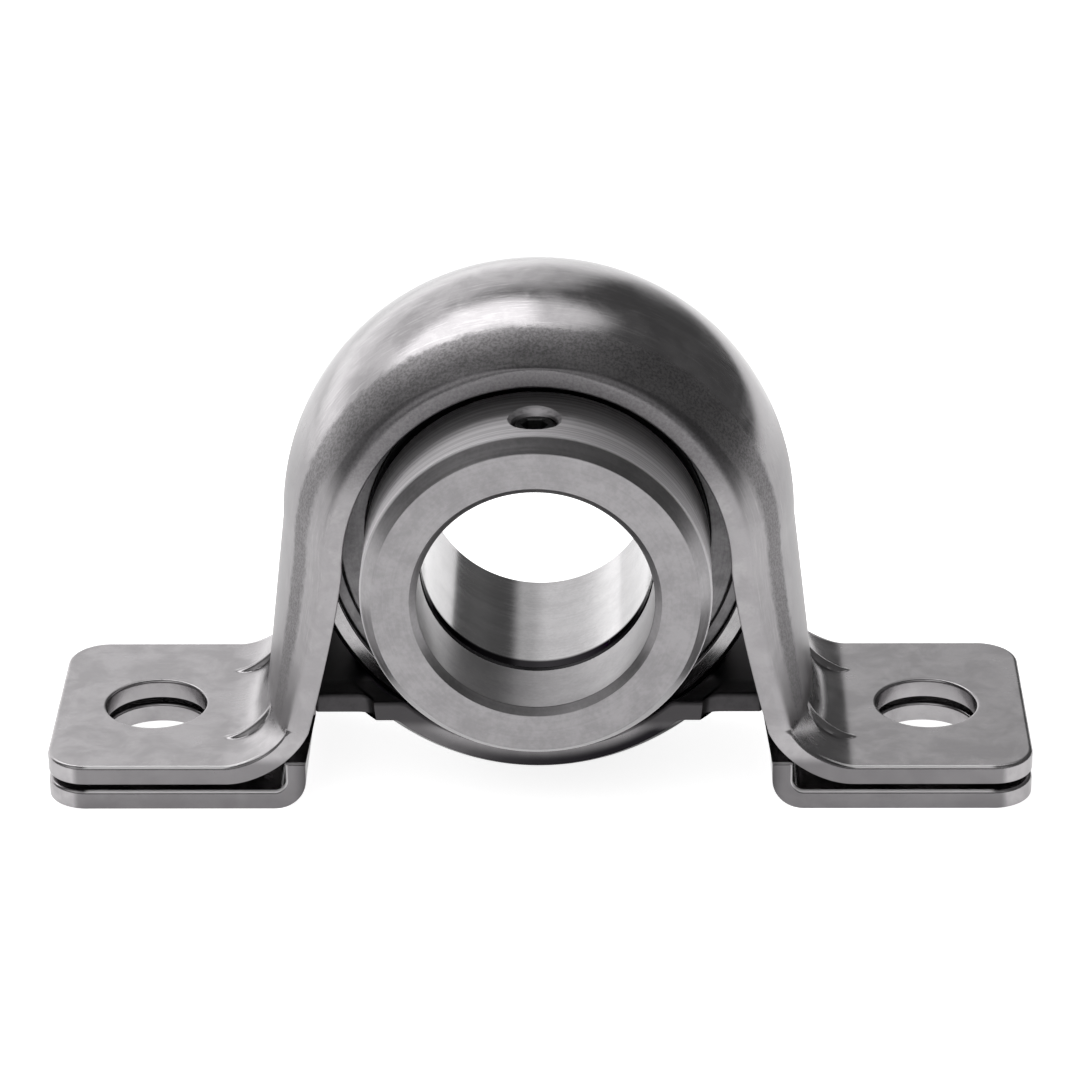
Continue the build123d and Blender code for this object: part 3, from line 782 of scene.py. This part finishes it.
# ==== Materials ===================================================================================
class Graph:
    """Builds a tree's nodes; each call returns the socket that the next one takes."""

    def __init__(self, owner):
        owner.use_nodes = True
        self.owner = owner
        self.tree = owner.node_tree

    def node(self, kind, inputs=(), **settings):
        made = self.tree.nodes.new(kind)
        for key, value in settings.items():
            setattr(made, key, value)
        for key, value in dict(inputs).items():
            self.feed(made.inputs[key], value)
        return made

    def feed(self, socket, value):
        """Links a socket to another one, or sets its own value."""
        if isinstance(value, bpy.types.NodeSocket):
            self.tree.links.new(value, socket)
        else:
            socket.default_value = value

    def vector(self, operation, *values):
        made = self.node("ShaderNodeVectorMath", enumerate(values), operation=operation)
        return made.outputs["Value" if operation == "LENGTH" else "Vector"]

    def math(self, operation, *values):
        return self.node("ShaderNodeMath", enumerate(values), operation=operation).outputs[0]

    def times(self, product, *factors):
        for factor in factors:
            product = self.math("MULTIPLY", product, factor)
        return product

    def plus(self, total, *parts):
        for part in parts:
            total = self.math("ADD", total, part)
        return total

    def reach(self, first, second):
        """How far two coordinates lie from nought together."""
        return self.math("SQRT", self.plus(self.times(first, first), self.times(second, second)))

    def split(self, vector):
        return self.node("ShaderNodeSeparateXYZ", {0: vector}).outputs

    def join(self, x, y, z):
        return self.node("ShaderNodeCombineXYZ", {0: x, 1: y, 2: z}).outputs[0]

    def ramp(self, value, start, end, low=0.0, high=1.0):
        """Goes softly from low to high as the value goes from start to end."""
        inputs = {"Value": value, "From Min": start, "From Max": end, "To Min": low, "To Max": high}
        made = self.node("ShaderNodeMapRange", inputs, interpolation_type="SMOOTHSTEP")
        return made.outputs["Result"]

    def noise(self, place, scale, detail=3.0, roughness=0.55, distortion=0.0):
        inputs = {"Vector": place, "Scale": scale, "Detail": detail, "Roughness": roughness}
        inputs["Distortion"] = distortion
        return self.node("ShaderNodeTexNoise", inputs).outputs["Fac"]

    def mix(self, share, first, second):
        made = self.node("ShaderNodeMix", data_type="RGBA")
        for key, value in ((0, share), (6, first), (7, second)):
            self.feed(made.inputs[key], value)
        return made.outputs[2]

    def bump(self, height, distance, strength):
        """height is in shares of distance, which is in millimetres."""
        inputs = {"Height": height, "Distance": distance * MM, "Strength": strength}
        return self.node("ShaderNodeBump", inputs).outputs["Normal"]

    def finish(self, **sockets):
        for key, value in sockets.items():
            self.feed(self.tree.nodes["Principled BSDF"].inputs[key.replace("_", " ")], value)
        return self.owner


class Skin(Graph):
    """A new material's nodes, with the place on the object in millimetres."""

    def __init__(self, name):
        super().__init__(bpy.data.materials.new(name))
        metres = self.node("ShaderNodeTexCoord").outputs["Object"]
        self.place = self.vector("MULTIPLY", metres, (1 / MM, 1 / MM, 1 / MM))


smooth_colors = (0.29, 0.28, 0.287, 1), (0.37, 0.358, 0.366, 1)
grain_colors = (0.15, 0.144, 0.148, 1), (0.29, 0.28, 0.287, 1)
score_color = (0.5, 0.485, 0.492, 1)
pit_color = (0.22, 0.212, 0.217, 1)
dull_color = (0.17, 0.163, 0.168, 1)
cut_color = (0.1, 0.096, 0.1, 1)
burr_highlight_color = (0.75, 0.735, 0.745, 1)
recess_shade_color = (0.035, 0.033, 0.035, 1)
seat_edge_shade_color = (0.012, 0.011, 0.013, 1)
edge_tint, seat_edge_shade_tint = (0.78, 0.78, 0.78, 1), (0.1, 0.1, 0.1, 1)
# Heights over which the pressed steel's marks come in, or go out.
foot_fade = (8.0, 12.0)
score_fade = (8.0, 30.0)
leg_fade = (44.0, 35.0)
plate_fade = (7.0, 5.5)


def pressed_steel(name, with_painted_shade):
    """Zinc-grey strip: drawn smooth, with fine scores along it, and grainy where its edges rolled over.

    The last argument is for the lower half, on whose middle and ball-seat edge shade is painted.
    """
    g = Skin(name)
    x, y, z = g.split(g.place)
    out, side = g.math("ABSOLUTE", x), g.math("ABSOLUTE", y)
    grain = g.noise(g.place, 3.4, 5.0, 0.7)
    speck = g.noise(g.place, 1.2, 2.0, 0.5)
    patch = g.noise(g.place, 0.22, 4.0, 0.6, 0.4)
    scores = g.noise(g.vector("MULTIPLY", g.place, (0.22, 3.2, 0.22)), 1.0, 4.0, 0.7)
    leg = g.ramp(z, *leg_fade)
    # The grainy band's border wanders.
    width = g.plus(side, g.times(g.math("SUBTRACT", speck, 0.5), 1.2))
    past = g.times(g.ramp(width, 12.4, 13.6), g.ramp(leg, 0.0, 1.0, 0.15, 1.0))
    rolled = g.times(g.ramp(width, 9.3, 10.3), g.ramp(z, *foot_fade), g.math("SUBTRACT", 1.0, past))

    color = g.mix(g.ramp(patch, 0.35, 0.65), *smooth_colors)
    scored = g.times(g.ramp(scores, 0.5, 0.72, 0.0, 0.5), g.ramp(z, *score_fade, 0.25, 1.0))
    color = g.mix(scored, color, score_color)
    grainy = g.mix(g.ramp(grain, 0.38, 0.62), *grain_colors)
    color = g.mix(g.times(rolled, g.ramp(leg, 0.0, 1.0, 0.9, 0.85)), color, grainy)
    color = g.mix(g.ramp(grain, 0.55, 0.75, 0.0, 0.3), color, pit_color)
    color = g.mix(g.times(leg, g.ramp(z, *foot_fade, 0.0, 0.2)), color, dull_color)
    # The cut faces are dark, and the burr along the plates' edges is painted pale as its highlight.
    cut = g.times(g.ramp(side, 14.7, 14.95), g.ramp(z, *plate_fade, 0.0, 0.7))
    crown_cut = g.times(g.ramp(side, 13.9, 14.3), g.ramp(leg, 0.0, 1.0, 0.6, 0.0))
    color = g.mix(g.math("MAXIMUM", cut, crown_cut), color, cut_color)
    burr_highlight = g.times(g.ramp(side, 14.55, 14.65), g.ramp(side, 14.97, 14.9))
    burr_highlight = g.times(burr_highlight, g.ramp(z, *plate_fade), g.ramp(out, 50.0, 49.0))
    color = g.mix(g.times(burr_highlight, 0.8), color, burr_highlight_color)
    tint = edge_tint
    if with_painted_shade:
        # Painted shade: the lower half's middle is darkened where the insert shades it, most in the dish's
        # bottom and up on the straps.
        depth = g.plus(g.ramp(z, 4.5, 8.5, 0.93, 0.45), g.ramp(z, 9.5, 11.0, 0.0, 0.47))
        color = g.mix(g.times(g.ramp(out, 27.0, 24.5), depth), color, recess_shade_color)
        # Painted shade: the edge of the ball seat is painted near-black, more on the right, and its edge
        # sheen is dimmed with it.
        reach = g.reach(x, g.math("SUBTRACT", z, centre_height))
        seat_edge_shade = g.times(g.ramp(reach, 21.9, 23.3), g.ramp(x, -14.0, 8.0, 0.45, 1.0))
        seat_edge_shade = g.times(seat_edge_shade, g.ramp(out, 24.5, 22.5), g.ramp(z, 11.0, 9.5))
        color = g.mix(seat_edge_shade, color, seat_edge_shade_color)
        tint = g.mix(seat_edge_shade, tint, seat_edge_shade_tint)

    rough = g.plus(g.ramp(patch, 0.3, 0.7, 0.13, 0.2), g.ramp(scores, 0.35, 0.65, 0.0, 0.04))
    rough = g.plus(rough, g.times(rolled, 0.16), g.times(leg, g.ramp(z, *foot_fade, 0.04, 0.2)))
    relief = g.times(grain, g.plus(g.times(rolled, g.ramp(leg, 0.0, 1.0, 0.6, 0.7)), 0.25))
    relief = g.plus(relief, g.times(scores, g.ramp(z, *score_fade, 0.03, 0.15)))
    return g.finish(
        Base_Color=color,
        Metallic=g.math("SUBTRACT", 1.0, g.times(burr_highlight, 0.6)),
        Roughness=g.plus(rough, g.times(burr_highlight, 0.2)),
        Specular_Tint=tint,
        Normal=g.bump(relief, 0.03, 0.6),
    )


ring_scale = 4.0
coarse_colors = (0.5, 0.487, 0.5, 1), (0.68, 0.663, 0.677, 1)
gap_shadow_color, gap_shadow_tint = (0.06, 0.058, 0.061, 1), (0.25, 0.25, 0.25, 1)


def turned_steel(name, dark, light, roughness, mark, outside=None, groove=None):
    """Machined steel: fine rings about the bore's axis, seen on faces and on cylinders alike.

    mark is the rings' height in millimetres, outside is the radius past which the tool marks are
    coarse, and groove is the front of the ring's joint with the collar, painted dark as its shadow.
    """
    g = Skin(name)
    x, y, z = g.split(g.place)
    up = g.math("SUBTRACT", z, centre_height)
    radius = g.reach(x, up)
    ax, ay, _ = g.split(g.vector("NORMALIZE", g.join(x, up, 0.0)))
    rings = g.join(radius, y, g.times(g.plus(ax, ay), 0.15))
    lines = g.noise(rings, ring_scale, 3.0, 0.6)
    cloud = g.noise(g.place, 0.3, 3.0)
    satin = g.noise(g.place, 2.2, 4.0, 0.65)
    blend = g.plus(g.times(lines, 0.25), g.times(cloud, 0.45), g.times(satin, 0.3))
    color = g.mix(g.ramp(blend, 0.38, 0.62), dark, light)
    rough = g.ramp(lines, 0.3, 0.7, roughness - 0.03, roughness + 0.05)
    relief = g.plus(g.times(lines, mark), g.times(satin, 0.0015))
    tint = (1, 1, 1, 1)
    if outside:
        # The screw's countersink is as coarse as the outside.
        turned = g.ramp(radius, outside - 0.25, outside - 0.05)
        from_screw = g.vector("LENGTH", g.join(x, g.math("SUBTRACT", y, screw_y), 0.0))
        sunk = g.times(g.ramp(from_screw, 3.4, 3.2), g.ramp(from_screw, 2.4, 2.6))
        turned = g.math("MAXIMUM", turned, g.times(sunk, g.ramp(up, 13.0, 14.0)))
        coarse = g.noise(rings, 2.2, 2.0, 0.6)
        color = g.mix(turned, color, g.mix(g.ramp(coarse, 0.35, 0.65), *coarse_colors))
        rough = g.plus(rough, g.times(turned, 0.3))
        relief = g.plus(relief, g.times(coarse, turned, 0.03))
    if groove:
        # Painted shadow: the front of the ring's bore is painted dark as the shade in its joint with the
        # collar.
        inside = g.ramp(radius, cam_radius - 0.8, cam_radius - 1.2)
        gap_shadow = g.times(g.ramp(y, groove + 2.2, groove + 1.6), inside)
        color = g.mix(gap_shadow, color, gap_shadow_color)
        tint = g.mix(gap_shadow, tint, gap_shadow_tint)
    return g.finish(
        Base_Color=color, Metallic=1.0, Roughness=rough, Specular_Tint=tint, Normal=g.bump(relief, 1.0, 0.6)
    )


def lip_rubber():
    """Black rubber, slightly grained."""
    g = Skin("lip_rubber")
    grain = g.noise(g.place, 6.0, 3.0)
    color = g.mix(grain, (0.008, 0.008, 0.009, 1), (0.02, 0.02, 0.021, 1))
    rough = g.ramp(grain, 0.3, 0.7, 0.45, 0.65)
    return g.finish(Base_Color=color, Roughness=rough, Normal=g.bump(grain, 0.01, 0.4))


def polished_steel():
    """Bright ball steel with faint scuffs."""
    g = Skin("ball_steel")
    haze = g.noise(g.place, 1.2, 3.0)
    scuff = g.noise(g.vector("MULTIPLY", g.place, (0.6, 6.0, 0.6)), 2.0, 2.0)
    color = g.mix(haze, (0.62, 0.62, 0.63, 1), (0.7, 0.7, 0.71, 1))
    return g.finish(Base_Color=color, Metallic=1.0, Roughness=g.ramp(scuff, 0.3, 0.7, 0.06, 0.12))


def cage_steel(name):
    """Pressed ribbon steel, clouded and slightly grained."""
    g = Skin(name)
    grain = g.noise(g.place, 4.0, 4.0)
    cloud = g.noise(g.place, 0.5, 2.0)
    color = g.mix(g.ramp(cloud, 0.35, 0.65), (0.38, 0.37, 0.36, 1), (0.5, 0.49, 0.48, 1))
    rough = g.ramp(grain, 0.3, 0.7, 0.25, 0.4)
    return g.finish(Base_Color=color, Metallic=1.0, Roughness=rough, Normal=g.bump(grain, 0.015, 0.5))


# ==== Dressing ====================================================================================
def dress(node, material):
    """Gives a carried-over CAD node its material."""
    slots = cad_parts[node].data.materials
    slots.clear()
    slots.append(material)


ring_steel = turned_steel("ring_steel", (0.3, 0.293, 0.297, 1), (0.38, 0.37, 0.376, 1), 0.24, 0.003)
bore_colors = (0.3, 0.293, 0.298, 1), (0.36, 0.352, 0.358, 1)
bore_steel = turned_steel("bore_steel", *bore_colors, 0.13, 0.0006, groove=-inner_ring_front)
collar_colors = (0.22, 0.213, 0.219, 1), (0.28, 0.271, 0.278, 1)
collar_steel = turned_steel("collar_steel", *collar_colors, 0.33, 0.003, outside=collar_radius)
screw_steel = turned_steel("screw_steel", (0.08, 0.08, 0.08, 1), (0.16, 0.16, 0.16, 1), 0.35, 0.003)
shield_steel = turned_steel("shield_steel", (0.11, 0.107, 0.11, 1), (0.19, 0.185, 0.19, 1), 0.38, 0.003)
rubber = lip_rubber()

make_upper_half(pressed_steel("pressed_steel", False))
make_lower_half(pressed_steel("lower_pressed_steel", True))
make_outer_ring(ring_steel)
make_inner_ring(bore_steel)
make_collar(collar_steel)
make_set_screw(screw_steel)
for side, place in ((-1, "front"), (1, "rear")):
    make_shield(side, place + "_seal_shield", shield_steel)
    make_lip(side, place + "_seal_lip", rubber)
ball_steel, ribbon_steel = polished_steel(), cage_steel("cage_steel")
for index in range(9):
    dress(f"ball_{index + 1}", ball_steel)
for node in ("cage_front_half", "cage_rear_half"):
    dress(node, ribbon_steel)
dress("cage_rivets", cage_steel("rivet_steel"))

# ==== Stage, light and camera =====================================================================
floor_half = 3.0  # metres, as is what follows up to the camera
floor_drop = 0.00002  # keeps the floor clear of the feet's undersides
floor_corners = [(x * floor_half, y * floor_half, 0) for x, y in ((-1, -1), (1, -1), (1, 1), (-1, 1))]
floor_mesh = bpy.data.meshes.new("floor")
floor_mesh.from_pydata(floor_corners, [], [(0, 1, 2, 3)])
floor = add_object("floor", floor_mesh)
floor.location.z = -floor_drop
paper, white = (0.85, 0.85, 0.85, 1), (1, 1, 1, 1)
floor_skin = Graph(bpy.data.materials.new("floor"))
floor_skin.finish(Base_Color=paper, Roughness=0.9, Emission_Color=white, Emission_Strength=0.84)
floor_mesh.materials.append(floor_skin.owner)

lamp = bpy.data.lights.new("floor_fill", "AREA")
lamp.shape = "RECTANGLE"
lamp.size, lamp.size_y = 1.5, 1.5
lamp.energy = 4
overhead = add_object("floor_fill", lamp)
overhead.location = (0, 0.05, 1.2)
overhead.visible_glossy = False

# Studio: bearings are in degrees from straight behind the object, rightwards, and rises from level.
world = bpy.data.worlds.new("world")
bpy.context.scene.world = world
studio = Graph(world)
x, y, z = studio.split(studio.node("ShaderNodeTexCoord").outputs["Generated"])
bearing = studio.math("DEGREES", studio.math("ARCTAN2", x, y))
rise = studio.math("DEGREES", studio.math("ARCSINE", z))
slanted = studio.math("MULTIPLY_ADD", bearing, -0.3, rise)
facing = studio.math("ABSOLUTE", bearing)
wall_left, wall_top = (bearing, -76, -54), (rise, 48, 30)
panels = (
    # Behind on the left: a pale wall in two steps, brighter near the floor.  The right stays dark.
    (0.75, wall_left, (bearing, 13, 7), wall_top),
    (0.45, wall_left, (bearing, 4, -6), wall_top),
    (0.8, wall_left, (bearing, 28, 4), (rise, 20, 5)),
    # High behind: a slanted bright box, with a dimmer one on its right, under a dark ceiling.
    (3.0, (bearing, -70, -54), (bearing, 6, -10), (slanted, 46, 58), (slanted, 80, 75)),
    (1.4, (bearing, -10, 6), (bearing, 48, 28), (rise, 47, 57), (rise, 79, 73)),
    # In front: a soft panel, and another on its left.
    (0.5, (facing, 120, 160), (rise, 5, 25), (rise, 65, 45)),
    (0.55, (facing, 90, 120), (bearing, 10, -10), (rise, 10, 30), (rise, 70, 50)),
)
light = 0.14
for strength, *windows in panels:
    light = studio.plus(light, studio.times(strength, *(studio.ramp(*window) for window in windows)))
studio.feed(world.node_tree.nodes["Background"].inputs["Color"], studio.join(light, light, light))

# The photograph's camera: focal length and centre in pixels, distance in millimetres.
azimuth, elevation, roll = radians(1.18), radians(25.55), radians(-0.62)
focal, image_side, distance = 4503.8, 1070, 492.85
centre_pixel = (538.78, 508.58)
sensor_width = 36
back = Vector((sin(azimuth) * cos(elevation), -cos(azimuth) * cos(elevation), sin(elevation)))
right = Vector((cos(azimuth), sin(azimuth), 0))
up = back.cross(right)
turned = (right * cos(roll) + up * sin(roll), up * cos(roll) - right * sin(roll), back)
offset = (
    (centre_pixel[0] - image_side / 2) / focal * distance,
    -(centre_pixel[1] - image_side / 2) / focal * distance,
    -distance,
)
camera = add_object("camera", bpy.data.cameras.new("camera"))
place = Vector((0, 0, centre_height)) - sum((axis * part for axis, part in zip(turned, offset)), Vector())
camera.matrix_world = Matrix.Translation(place * MM) @ Matrix(turned).transposed().to_4x4()
camera.data.sensor_width = sensor_width
camera.data.lens = focal * sensor_width / image_side
camera.data.clip_start, camera.data.clip_end = 0.01, 10
bpy.context.scene.camera = camera
bpy.context.scene.view_settings.view_transform = "Standard"
